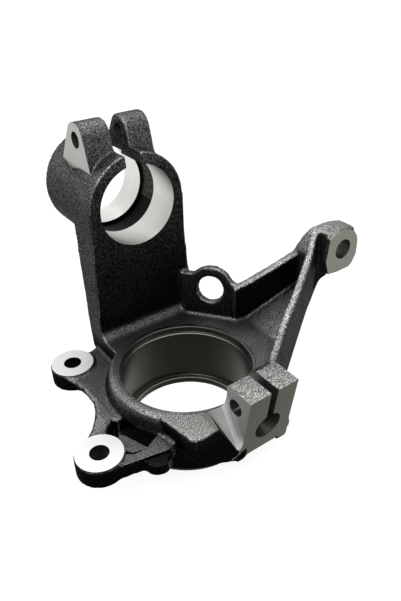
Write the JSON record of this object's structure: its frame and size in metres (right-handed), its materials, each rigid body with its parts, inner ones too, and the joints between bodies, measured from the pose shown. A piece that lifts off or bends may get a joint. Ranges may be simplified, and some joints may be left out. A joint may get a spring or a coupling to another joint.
{
  "type": "steering knuckle",
  "caption": "Cast front steering knuckle with a wheel bearing seat, split strut clamp, steering arm, slotted ball joint lug and caliper lugs.",
  "frame": {"origin": "centre of the wheel bearing bore at its inboard rim, which is the machined top face of the ring", "axes": "+Z along the bearing axis, inboard, the way the bearing is drawn out; +Y along the strut clamp's bore, the way the strut leaves; +X from the caliper lugs to the steering arm"},
  "size_m": [0.2258, 0.1793, 0.1803],
  "materials": {
    "cast_body": "black as-cast skin with a fine grain; faces and bores that take other parts are machined bright"
  },
  "bodies": {
    "root": {"knuckle": "cast_body"}
  },
  "joints": []
}
